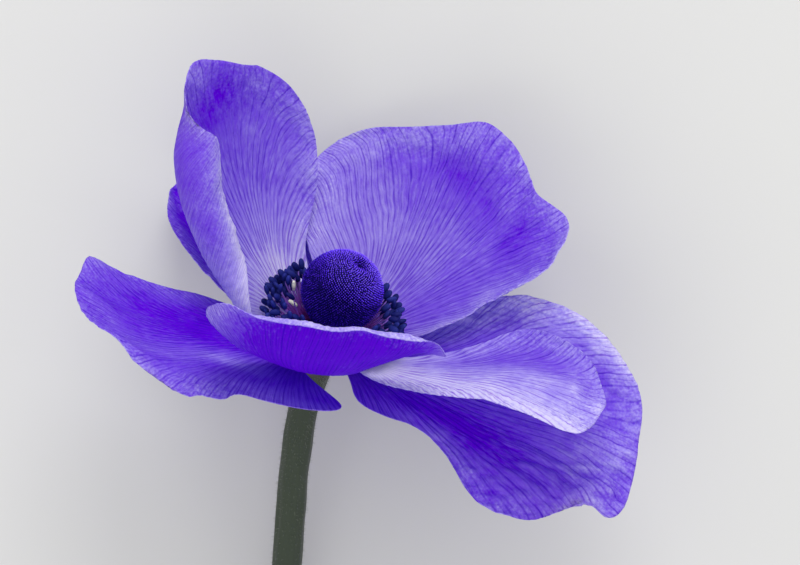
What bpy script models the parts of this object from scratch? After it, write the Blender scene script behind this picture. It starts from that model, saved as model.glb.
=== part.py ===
"""A cut poppy anemone, blue-violet, lying on its back petals and the end of its stem.

Lengths in the tables are millimetres. The flower is built about its own axis, with the
middle of the receptacle, where the petals join, as the origin of the empty "flower".
"""
import math
import random

import bmesh
import bpy
import numpy as np
from mathutils import Vector

MM = 0.001
OBJECT_NAME = "poppy_anemone"

# How the flower lies: its axis rises from the table and leans a little to the right
AXIS_RISE = math.radians(30.0)
AXIS_LEAN = math.radians(18.86)

# Where the middle of the receptacle is, above the middle of the object's footprint
RECEPTACLE_PLACE = Vector((-5.5, 16.72, 26.65))

# Receptacle and stem: heights along the flower's axis with radii, then the bent stem's route
RECEPTACLE_TOP = 1.95
RECEPTACLE_RADIUS = 2.9
STEM_RADIUS = 2.3
STEM_TOP = ((RECEPTACLE_TOP, RECEPTACLE_RADIUS), (0.4, RECEPTACLE_RADIUS), (-1.6, 2.5), (-4.5, STEM_RADIUS))
STEM_ROUTE = (
    (-2.6, -7.6, -4.6),
    (-4.1, -17.0, -10.2),
    (-5.2, -30.0, -16.4),
    (-6.4, -46.0, -21.4),
    (-7.4, -62.0, -24.0),
    (-8.0, -77.0, -24.3),
)
STEM_SIDES = 16

# Pistil head
HEAD_RADIUS = 6.2
HEAD_CENTRE_HEIGHT = 10.9
HEAD_NECK = 2.5
HEAD_BUMP = 0.22
HEAD_BUMPS = 230

# Stamens: a collar round the pistil head's neck, with three tiers of stamens grown from it
COLLAR_HEIGHT = 2.85
COLLAR_RADIUS = 3.1
COLLAR_THICKNESS = 0.6
STAMENS_ROUND = 24
STAMEN_TIERS = (
    {"radius": 9.8, "height": 6.4},
    {"radius": 8.9, "height": 7.6},
    {"radius": 7.6, "height": 9.0},
)
STAMEN_SEED = 7
ANTHER_LENGTH = 1.5
ANTHER_HALF_WIDTH = 0.42
FILAMENT_HALF_WIDTH = 0.17

# Petals
PETAL_THICKNESS = 0.7
PETAL_CELLS = 14
CORNER_ROUNDING = 0.09
RIM_POWER = 3

# A petal is a sheet round a midrib. Each row, from claw to rim, holds the midrib's radius from
# the flower's axis, its height along it and its shift sideways, the sheet's twist in degrees,
# then the half width and the edge's bend in degrees, first on the side that lies anticlockwise
# seen from the front of the flower, then on the clockwise side. "power" says how near the edges
# the bend gathers, "fan" how much the rows curve round the claw, "waves" are the rim's height,
# number across and phase, and "rim" is the rim's extra length from the clockwise edge across.
# "edges" is the extra half width from claw to rim, anticlockwise side first, evenly spaced.
PETALS = {
    "petal_back_left_inner": {
        "azimuth": 140.0,
        "cells_across": 26,
        "power": (3.2, 2.0),
        "waves": (0.5, 2.0, 0.3),
        "rim": (-4.4, -3.2, -1.9, -0.7, 0.0, 1.2, 2.4, 4.0, 6.5),
        "rows": (
            (3.35, 1.25, 0.0, 0.0, 1.3, 0.0, 1.3, 0.0),
            (6.6, 1.7, 0.0, 0.0, 6.8, 25.0, 3.2, 11.0),
            (10.0, 2.6, 0.0, 0.0, 12.0, 60.0, 5.0, 20.0),
            (14.0, 4.4, 0.0, 0.0, 16.6, 130.0, 6.2, 26.0),
            (18.0, 7.0, 0.0, 0.0, 20.5, 195.0, 7.5, 30.0),
            (21.7, 10.3, 0.0, 0.0, 23.5, 216.0, 9.8, 36.0),
            (25.0, 14.0, 0.0, 0.0, 25.4, 220.0, 12.0, 40.0),
            (27.8, 18.2, 0.0, 0.0, 26.8, 222.0, 13.1, 41.0),
            (30.0, 22.5, 0.0, 0.0, 26.3, 214.0, 13.5, 40.0),
            (31.4, 26.5, 0.0, 0.0, 16.0, 60.0, 12.9, 36.0),
            (32.5, 30.5, 0.0, 0.0, 14.5, 0.0, 12.0, 30.0),
        ),
    },
    "petal_back_left_outer": {
        "azimuth": 133.0,
        "power": (2.0, 2.0),
        "waves": (0.4, 3.0, 0.0),
        "rim": (-3.0, -1.0, 0.0, -1.0, -3.0),
        "rows": (
            (3.35, 0.0, 0.0, 0.0, 1.3, 0.0, 1.3, 0.0),
            (11.0, -0.2, 0.0, 0.0, 5.5, 5.0, 4.5, 0.0),
            (19.0, 0.4, 0.0, 0.0, 8.5, 10.0, 9.0, 5.0),
            (27.0, 1.2, 0.0, 0.0, 9.5, 15.0, 11.0, 10.0),
            (34.5, 2.1, 0.0, 0.0, 9.0, 15.0, 10.5, 10.0),
            (41.0, 3.1, 0.0, 0.0, 6.0, 10.0, 8.0, 10.0),
        ),
    },
    "petal_back_outer": {
        "azimuth": 72.0,
        "cells_across": 16,
        "power": (1.5, 2.0),
        "waves": (0.4, 3.0, 0.5),
        "rim": (-3.0, -1.0, 0.0, -1.0, -4.0),
        "rows": (
            (3.35, 0.0, 0.0, 0.0, 1.3, 0.0, 1.3, 0.0),
            (11.0, 0.8, 0.0, 5.0, 7.5, 15.0, 6.0, 0.0),
            (19.0, 2.2, 0.0, 11.0, 14.0, 10.0, 12.0, 0.0),
            (26.0, 4.0, 0.0, 17.0, 15.0, 10.0, 15.0, -5.0),
            (32.0, 6.5, 0.0, 22.0, 14.0, 15.0, 16.0, -10.0),
            (37.0, 9.1, 0.0, 24.0, 12.5, 20.0, 13.0, -10.0),
        ),
    },
    "petal_back_right_inner": {
        "azimuth": 58.0,
        "cells_across": 24,
        "power": (2.0, 3.0),
        "fan": 0.6,
        "waves": (0.6, 3.5, 0.2),
        "rim": (0.8, 1.0, -0.2, -0.8, 1.0, 2.7, 2.9, -0.2, -3.0, -4.5, -6.8),
        "edges": (
            (0.0, 0.0),
            (0.0, -1.0, -2.5, -2.5, -1.0, 0.0),
        ),
        "rows": (
            (3.35, 1.25, 0.0, 0.0, 1.3, 0.0, 1.3, 0.0),
            (9.5, 2.8, 0.0, 0.0, 8.0, 25.0, 7.5, 35.0),
            (16.0, 7.0, 0.0, 0.0, 16.0, 40.0, 14.5, 55.0),
            (22.0, 13.0, 0.0, 0.0, 23.0, 30.0, 19.0, 65.0),
            (27.0, 20.0, 0.0, 0.0, 26.0, 20.0, 22.0, 65.0),
            (30.5, 27.0, 0.0, 0.0, 27.0, 15.0, 20.5, 45.0),
        ),
    },
    "petal_right_outer": {
        "azimuth": 357.0,
        "cells_across": 24,
        "cells_along": 18,
        "power": (2.0, 2.0),
        "waves": (0.6, 3.0, 0.4),
        "rim": (2.0, 2.3, 2.3, 1.5, 0.5, -0.4, -1.0, -2.3, -4.0),
        "edges": (
            (0.0, 0.0),
            (0.0, 0.5, 1.0, -0.8, -2.8, -3.1, -2.6, -1.6, -0.8, -0.8, -1.4, -5.0, 1.0),
        ),
        "rows": (
            (3.35, 0.0, 0.0, 0.0, 1.3, 0.0, 1.3, 0.0),
            (12.0, 0.0, 0.0, 15.0, 7.0, -10.0, 7.5, 0.0),
            (21.0, 0.6, 0.0, 35.0, 12.5, -10.0, 11.0, 0.0),
            (30.0, 1.6, 0.0, 42.0, 17.5, -5.0, 15.5, 5.0),
            (39.5, 1.8, 0.0, 44.0, 18.0, 0.0, 17.0, 5.0),
            (49.5, 1.0, 0.0, 44.0, 14.0, 0.0, 13.5, 0.0),
        ),
    },
    "petal_right_inner": {
        "azimuth": 342.0,
        "cells_across": 18,
        "power": (3.0, 2.0),
        "waves": (0.5, 2.0, 0.0),
        "rim": (3.0, 0.8, 0.4, -0.3, -2.0),
        "edges": (
            (0.0, -1.0, -1.2, 1.0, -0.3, -0.5),
            (0.0, 0.5, 0.0, -2.3, -5.0, -3.5),
        ),
        "rows": (
            (3.35, 1.25, 0.0, 0.0, 1.3, 0.0, 1.3, 0.0),
            (12.0, 3.0, 0.0, 0.0, 5.0, 20.0, 4.5, 0.0),
            (21.0, 6.5, 0.0, 0.0, 10.0, 40.0, 6.5, 0.0),
            (29.0, 10.0, 0.0, 0.0, 13.5, 50.0, 8.5, -10.0),
            (37.0, 12.0, 0.0, 0.0, 13.5, 50.0, 12.5, -15.0),
            (44.0, 12.0, 0.0, 0.0, 10.0, 40.0, 11.0, -15.0),
        ),
    },
    "petal_left_outer": {
        "azimuth": 205.0,
        "cells_across": 24,
        "cells_along": 18,
        "power": (2.0, 2.0),
        "waves": (0.6, 3.0, 0.7),
        "rim": (-1.4, -1.6, -1.2, 0.1, 1.1, 0.9, 0.3, -0.9, -1.0),
        "edges": (
            (0.0, -3.0, 0.6, 1.0, -2.2, -1.8, -1.4, 0.9, -0.8, 3.0),
            (0.0, 0.0, -1.2, -1.4, 0.7, 2.2),
        ),
        "rows": (
            (3.35, 0.0, 0.0, 0.0, 1.3, 0.0, 1.3, 0.0),
            (11.0, 0.0, 0.0, 0.0, 15.0, 5.0, 6.5, 20.0),
            (19.0, -0.2, 0.0, 0.0, 15.0, -5.0, 11.0, 25.0),
            (26.0, -0.4, -1.5, 0.0, 18.0, -5.0, 12.0, 25.0),
            (31.5, -0.5, -4.5, 0.0, 17.0, -5.0, 11.0, 20.0),
            (36.5, 0.0, -9.0, 0.0, 15.0, 0.0, 11.0, 10.0),
        ),
    },
    "petal_front_inner": {
        "azimuth": 275.0,
        "cells_across": 20,
        "power": (1.0, 1.5),
        "waves": (0.4, 3.0, 0.0),
        "rim": (4.9, 1.7, 0.2, 0.3, 0.0, 0.2, 1.8, 2.4, 1.9),
        "rows": (
            (3.35, 1.25, 0.0, 0.0, 1.3, 0.0, 1.3, 0.0),
            (10.5, 2.6, 0.0, 6.0, 7.0, 25.0, 7.5, 20.0),
            (17.0, 6.2, 0.0, 10.0, 12.5, 55.0, 14.5, 45.0),
            (22.0, 11.0, 0.0, 12.0, 16.5, 40.0, 19.5, 52.0),
            (25.5, 16.2, 0.0, 12.0, 18.0, 18.0, 21.5, 52.0),
            (27.5, 21.5, 0.0, 12.0, 17.5, 0.0, 20.5, 42.0),
        ),
    },
}

MATERIALS = {
    "petal_violet_blue": {"colour": (0.13, 0.07, 0.62), "roughness": 0.5},
    "pistil_indigo": {"colour": (0.012, 0.006, 0.12), "roughness": 0.6},
    "stamen_navy": {"colour": (0.010, 0.012, 0.09), "roughness": 0.6},
    "stem_green": {"colour": (0.09, 0.12, 0.07), "roughness": 0.65},
}

PISTIL_NODE = "pistil_head"
STAMENS_NODE = "stamens"
STEM_NODE = "stem"


def flower_directions():
    """Return the flower's right, back and axis as unit vectors in the world."""
    rise_sin = math.sin(AXIS_RISE)
    rise_cos = math.cos(AXIS_RISE)
    lean_sin = math.sin(AXIS_LEAN)
    lean_cos = math.cos(AXIS_LEAN)
    right = np.array((lean_cos, -lean_sin, 0.0))
    back = np.array((rise_sin * lean_sin, rise_sin * lean_cos, -rise_cos))
    axis = np.array((rise_cos * lean_sin, rise_cos * lean_cos, rise_sin))
    return right, back, axis


RIGHT, BACK, AXIS = flower_directions()


def polar(radius, azimuth, height):
    """Return the point at a radius, an azimuth in radians and a height along the axis."""
    outward = math.cos(azimuth) * RIGHT + math.sin(azimuth) * BACK
    return radius * outward + height * AXIS


def curve_through(values, place):
    """Return a smooth curve through evenly spaced values, at places from 0 to 1."""
    values = np.asarray(values, dtype=float)
    last = len(values) - 1
    before = 2.0 * values[0] - values[1]
    after = 2.0 * values[-1] - values[-2]
    padded = np.concatenate(([before], values, [after]))
    along = np.clip(place, 0.0, 1.0) * last
    step = np.minimum(along.astype(int), last - 1)
    part = along - step
    p0, p1, p2, p3 = (padded[step + k] for k in range(4))
    bend = 2.0 * p0 - 5.0 * p1 + 4.0 * p2 - p3
    cubic = 3.0 * (p1 - p2) + p3 - p0
    return p1 + 0.5 * part * (p2 - p0 + part * (bend + part * cubic))


def section(across, bend, power):
    """Return how far a sheet that bends towards its edge goes sideways and inwards."""
    samples = (np.arange(32) + 0.5) / 32.0
    angle = bend[:, None] * (across[:, None] * samples) ** power[:, None]
    return across * np.cos(angle).mean(axis=1), across * np.sin(angle).mean(axis=1)


def half_width(petal, along, across):
    """Return the petal's half width on the side that each point lies on."""
    rows = np.array(petal["rows"])
    extra = petal.get("edges", ((0.0, 0.0), (0.0, 0.0)))
    anticlockwise = curve_through(rows[:, 4], along) + curve_through(extra[0], along)
    clockwise = curve_through(rows[:, 6], along) + curve_through(extra[1], along)
    return np.where(across > 0.0, anticlockwise, clockwise)


def petal_points(petal, along, across):
    """Return the sheet's points; along runs 0 to 1 to the rim, across -1 to 1."""
    rows = np.array(petal["rows"])
    azimuth = math.radians(petal["azimuth"])
    outward = math.cos(azimuth) * RIGHT + math.sin(azimuth) * BACK
    sideways = -math.sin(azimuth) * RIGHT + math.cos(azimuth) * BACK

    radius = curve_through(rows[:, 0], along)
    height = curve_through(rows[:, 1], along)
    shift = curve_through(rows[:, 2], along)
    twist = np.radians(curve_through(rows[:, 3], along))
    anticlockwise = across > 0.0
    width = half_width(petal, along, across)
    bend = np.where(anticlockwise, curve_through(rows[:, 5], along), curve_through(rows[:, 7], along))
    power = np.where(anticlockwise, petal["power"][0], petal["power"][1])

    near = np.clip(along - 0.02, 0.0, 1.0)
    far = np.clip(along + 0.02, 0.0, 1.0)
    run = curve_through(rows[:, 0], far) - curve_through(rows[:, 0], near)
    climb = curve_through(rows[:, 1], far) - curve_through(rows[:, 1], near)
    slope = np.hypot(run, climb)
    forward = (run / slope)[:, None] * outward + (climb / slope)[:, None] * AXIS
    inward = (-climb / slope)[:, None] * outward + (run / slope)[:, None] * AXIS
    turned = np.cos(twist)[:, None] * sideways + np.sin(twist)[:, None] * inward
    inward = np.cos(twist)[:, None] * inward - np.sin(twist)[:, None] * sideways

    out, lift = section(np.abs(across), np.radians(bend), power)
    spread = np.sign(across) * width * out
    reach = np.hypot(radius - rows[0, 0], height - rows[0, 1])
    lag = petal.get("fan", 1.0) * spread ** 2 / (2.0 * (reach + 4.0))
    rim = curve_through(petal["rim"], (across + 1.0) / 2.0) * along ** RIM_POWER

    midrib = radius[:, None] * outward + height[:, None] * AXIS + shift[:, None] * sideways
    height, count, phase = petal["waves"]
    wave = height * along ** 2 * np.sin(math.pi * (count * across + phase))
    points = midrib + spread[:, None] * turned + (width * lift + wave)[:, None] * inward
    return points + (rim - lag)[:, None] * forward


def new_material(name):
    """Return a Principled material with the part's colour."""
    values = MATERIALS[name]
    material = bpy.data.materials.new(name)
    material.use_nodes = True
    shader = material.node_tree.nodes["Principled BSDF"]
    shader.inputs["Base Color"].default_value = (*values["colour"], 1.0)
    shader.inputs["Roughness"].default_value = values["roughness"]
    shader.inputs["Metallic"].default_value = 0.0
    material.diffuse_color = (*values["colour"], 1.0)
    return material


def add_object(name, data, flower, material):
    """Put a mesh or curve in the object's collection, parented to the flower."""
    thing = bpy.data.objects.new(name, data)
    thing.parent = flower
    data.materials.append(material)
    bpy.data.collections[OBJECT_NAME].objects.link(thing)
    return thing


def make_petal(name, petal, flower, material):
    """Build one petal: a grid moved to the petal's sheet, then given its thickness."""
    mesh = bpy.data.meshes.new(name)
    grid = bmesh.new()
    cells_across = petal.get("cells_across", PETAL_CELLS)
    cells_along = petal.get("cells_along", PETAL_CELLS)
    bmesh.ops.create_grid(grid, x_segments=cells_across, y_segments=cells_along, size=1.0)
    flat = np.array([vertex.co[:2] for vertex in grid.verts])
    across = flat[:, 0] * (1.0 - CORNER_ROUNDING * ((flat[:, 1] + 1.0) / 2.0) ** 8)
    along = (flat[:, 1] + 1.0) / 2.0 * (1.0 - CORNER_ROUNDING * flat[:, 0] ** 8)
    for vertex, point in zip(grid.verts, petal_points(petal, along, across)):
        vertex.co = Vector(point) * MM
    grid.to_mesh(mesh)
    grid.free()
    thing = add_object(name, mesh, flower, material)
    thing.modifiers.new("Facets", "TRIANGULATE")
    solid = thing.modifiers.new("Thickness", "SOLIDIFY")
    solid.thickness = PETAL_THICKNESS * MM
    solid.offset = 0.0
    return thing


def head_point(unit, raised):
    """Return the pistil head's point in a unit direction, raised a little outwards."""
    size = HEAD_RADIUS + raised
    neck = HEAD_NECK * max(0.0, (-unit[2] - 0.6) / 0.4) ** 3
    azimuth = math.atan2(unit[1], unit[0])
    return polar(size * math.hypot(unit[0], unit[1]), azimuth, HEAD_CENTRE_HEIGHT + size * unit[2] - neck)


def make_pistil_head(flower, material):
    """Build the dome of pistils: a ball drawn down to a neck and raised into blunt bumps."""
    mesh = bpy.data.meshes.new(PISTIL_NODE)
    ball = bmesh.new()
    bmesh.ops.create_icosphere(ball, subdivisions=4, radius=1.0)
    golden = math.pi * (3.0 - math.sqrt(5.0))
    levels = 1.0 - 2.0 * (np.arange(HEAD_BUMPS) + 0.5) / HEAD_BUMPS
    rings = np.sqrt(1.0 - levels ** 2)
    turns = golden * np.arange(HEAD_BUMPS)
    bumps = np.stack((rings * np.cos(turns), rings * np.sin(turns), levels), axis=1)
    for vertex in ball.verts:
        unit = np.array(vertex.co)
        nearest = np.linalg.norm(bumps - unit, axis=1).min()
        raised = HEAD_BUMP * max(0.0, 1.0 - (nearest / 0.11) ** 2)
        vertex.co = Vector(head_point(unit, raised)) * MM
    ball.to_mesh(mesh)
    ball.free()
    return add_object(PISTIL_NODE, mesh, flower, material)


def grow_stamen(collar, face, tier, chance):
    """Grow a filament and its anther out of one face of the collar."""
    centre = face.calc_center_median()
    azimuth = math.atan2(centre.y, centre.x) + math.radians(chance.uniform(-3.0, 3.0))
    base = Vector((math.hypot(centre.x, centre.y), 0.0, centre.z))
    spread = chance.uniform(-0.6, 0.6)
    tip = Vector((tier["radius"] + spread, 0.0, tier["height"] + chance.uniform(-0.5, 0.5)))
    lean = math.radians(chance.uniform(25.0, 75.0))
    pointing = Vector((math.cos(lean), 0.0, math.sin(lean)))
    middle = base.lerp(tip, 0.55) + Vector((0.5, 0.0, -0.5))
    stations = (
        (base.lerp(tip, 0.12), FILAMENT_HALF_WIDTH),
        (middle, FILAMENT_HALF_WIDTH),
        (tip, FILAMENT_HALF_WIDTH),
        (tip + pointing * 0.15 * ANTHER_LENGTH, ANTHER_HALF_WIDTH),
        (tip + pointing * 0.8 * ANTHER_LENGTH, ANTHER_HALF_WIDTH * 0.9),
        (tip + pointing * ANTHER_LENGTH, ANTHER_HALF_WIDTH * 0.35),
    )
    turn = math.pi / 4.0
    before = base
    sideways = Vector((-math.sin(azimuth), math.cos(azimuth), 0.0))
    offsets = [vertex.co - centre for vertex in face.verts]
    start = [math.atan2(offset.z, offset.dot(sideways)) for offset in offsets]
    order = sorted(range(len(start)), key=lambda k: start[k])
    for place, half_width in stations:
        grown = bmesh.ops.extrude_discrete_faces(collar, faces=[face])
        face = grown["faces"][0]
        ahead = (place - before).normalized()
        up = Vector((-ahead.z, 0.0, ahead.x))
        corners = list(face.verts)
        for rank, k in enumerate(order):
            angle = -math.pi + turn + rank * math.pi / 2.0
            reach = up * math.sin(angle) * half_width * math.sqrt(2.0)
            side = math.cos(angle) * half_width * math.sqrt(2.0)
            flat = place + reach
            corners[k].co = Vector((
                flat.x * math.cos(azimuth) - side * math.sin(azimuth),
                flat.x * math.sin(azimuth) + side * math.cos(azimuth),
                flat.z,
            ))
        before = place


def make_stamens(flower, material):
    """Build the collar and grow a stamen out of each of its outward faces."""
    bpy.ops.mesh.primitive_torus_add(
        major_segments=STAMENS_ROUND, minor_segments=8,
        major_radius=COLLAR_RADIUS, minor_radius=COLLAR_THICKNESS,
    )
    made = bpy.context.object
    mesh = made.data
    bpy.data.objects.remove(made, do_unlink=True)
    mesh.name = STAMENS_NODE
    collar = bmesh.new()
    collar.from_mesh(mesh)
    chance = random.Random(STAMEN_SEED)
    outward = []
    for face in collar.faces:
        centre = face.calc_center_median()
        out = math.hypot(centre.x, centre.y) - COLLAR_RADIUS
        angle = math.degrees(math.atan2(centre.z, out))
        tier = round((angle - 22.5) / 45.0) + 1
        if 0 <= tier < len(STAMEN_TIERS):
            outward.append((face, STAMEN_TIERS[tier]))
    for vertex in collar.verts:
        vertex.co.z += COLLAR_HEIGHT
    for face, tier in outward:
        grow_stamen(collar, face, tier, chance)
    for vertex in collar.verts:
        x, y, z = vertex.co
        vertex.co = Vector(polar(math.hypot(x, y), math.atan2(y, x), z)) * MM
    collar.to_mesh(mesh)
    collar.free()
    return add_object(STAMENS_NODE, mesh, flower, material)


def make_stem(flower, material):
    """Build the receptacle and the stem as one tube, thickest where the petals join."""
    curve = bpy.data.curves.new(STEM_NODE, "CURVE")
    curve.dimensions = "3D"
    curve.bevel_depth = MM
    curve.bevel_resolution = STEM_SIDES // 2 - 2
    curve.resolution_u = 3
    curve.use_fill_caps = True
    stations = [(polar(0.0, 0.0, height), radius) for height, radius in STEM_TOP]
    stations += [(np.array(place), STEM_RADIUS) for place in STEM_ROUTE]
    spline = curve.splines.new("BEZIER")
    spline.bezier_points.add(len(stations) - 1)
    for point, (place, radius) in zip(spline.bezier_points, stations):
        point.co = Vector(place) * MM
        point.radius = radius
        point.handle_left_type = "AUTO"
        point.handle_right_type = "AUTO"
    return add_object(STEM_NODE, curve, flower, material)


def make_flower():
    """Build every piece of the flower."""
    collection = bpy.data.collections.new(OBJECT_NAME)
    bpy.context.scene.collection.children.link(collection)
    flower = bpy.data.objects.new("flower", None)
    flower.location = RECEPTACLE_PLACE * MM
    collection.objects.link(flower)
    materials = {name: new_material(name) for name in MATERIALS}
    for name, petal in PETALS.items():
        make_petal(name, petal, flower, materials["petal_violet_blue"])
    make_pistil_head(flower, materials["pistil_indigo"])
    make_stamens(flower, materials["stamen_navy"])
    make_stem(flower, materials["stem_green"])


for leftover in list(bpy.data.objects):
    bpy.data.objects.remove(leftover, do_unlink=True)
make_flower()
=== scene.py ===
"""The looks of a cut poppy anemone: veined satin petals, a dome of styles, stamens and a downy stem.

Lengths in the tables are millimetres. The petals' tables are the part's own, so each fine petal
lies where the solid does, with relief, thin margins and its colours added.
"""

import math

import bmesh
import bpy
import numpy as np
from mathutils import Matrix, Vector


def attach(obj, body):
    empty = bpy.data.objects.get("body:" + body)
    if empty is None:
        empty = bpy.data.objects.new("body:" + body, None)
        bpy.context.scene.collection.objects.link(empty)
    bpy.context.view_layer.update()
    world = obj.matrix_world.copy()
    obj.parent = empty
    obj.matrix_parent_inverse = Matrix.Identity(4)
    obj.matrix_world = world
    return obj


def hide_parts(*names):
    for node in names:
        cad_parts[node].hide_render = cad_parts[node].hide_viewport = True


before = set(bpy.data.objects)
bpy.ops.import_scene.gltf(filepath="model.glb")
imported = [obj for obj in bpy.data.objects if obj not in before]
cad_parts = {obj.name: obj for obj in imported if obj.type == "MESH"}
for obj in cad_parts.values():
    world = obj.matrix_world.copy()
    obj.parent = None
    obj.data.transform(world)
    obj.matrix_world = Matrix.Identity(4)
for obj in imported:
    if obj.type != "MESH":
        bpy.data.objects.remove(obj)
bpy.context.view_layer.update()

MM = 0.001
FLOOR_GAP = 0.02
BODY = "root"

# How the flower lies, and where the middle of the receptacle is
AXIS_RISE = math.radians(30.0)
AXIS_LEAN = math.radians(18.86)
RECEPTACLE_PLACE = np.array((-5.5, 16.72, 26.65))

# The photograph's frame: its middle in the plane of the receptacle, its width there
FRAME_MIDDLE = (6.2, 26.845)
FRAME_WIDTH = 120.0
CAMERA_HEIGHT = 3000.0
SENSOR_WIDTH = 36.0

# Petals, as in the part
CORNER_ROUNDING = 0.09
RIM_POWER = 3
SLOPE_STEP = 0.02
BEND_SAMPLES = 32
FAN_ROOT = 4.0
INNER_CLAW = (3.35, 1.25, 0, 0, 1.3, 0, 1.3, 0)
OUTER_CLAW = (3.35, 0, 0, 0, 1.3, 0, 1.3, 0)

# Fine form of the petals
MIDDLE_THICKNESS = 0.42
MARGIN_THICKNESS = 0.17
VEIN_DEPTH = 0.04
VEIN_WIDTH = 0.11
PLEAT_DEPTH = 0.015
PUCKER_LENGTH = 1.5
NET_DEPTH = 0.04
NET_LENGTH = 0.8
SWELL_DEPTH = 0.16
SWELL_LENGTH = 8.0
# Painted light on the petals' relief: its crests are made paler and its hollows darker
RELIEF_PAINTED_LIGHT = 0.32
PATCH_PALENESS = 0.03
PATCH_LENGTH = 6.0
OUTER_VEINS = 0.45
RIPPLE_WAVES = 24

# Coarse veins: the gap between them at a range from their origin, which lies below the claw
VEIN_GAP = 3.3
VEIN_RANGE = 30.0
VEIN_ORIGIN = 5.0
FIRST_VEIN = 40.0

# The petals' tissue from deep to pale, which also carries painted light and shade, the veins'
# tint on it, and what shines through
TISSUE = (
    (0.08, (0.13, 0.0, 0.70)),
    (0.42, (0.25, 0.13, 0.77)),
    (0.72, (0.46, 0.38, 0.87)),
    (1.0, (0.80, 0.76, 0.97)),
)
VEIN_TINT = (0.42, 0.19, 0.78, 1.0)
GLOW_TINT = (0.16, 0.004, 0.85, 1.0)
GLOW_SHARE = 0.35

# Finer veins: parts of the gap, where on the petal the fork starts and ends, half width, strength
FORKS = ((1.0, 0.05, 0.4, 0.2, 1.0), (2.0, 0.15, 0.6, 0.18, 0.9), (4.0, 0.3, 0.9, 0.15, 0.6))
FORK_SPREAD = 0.2
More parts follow.
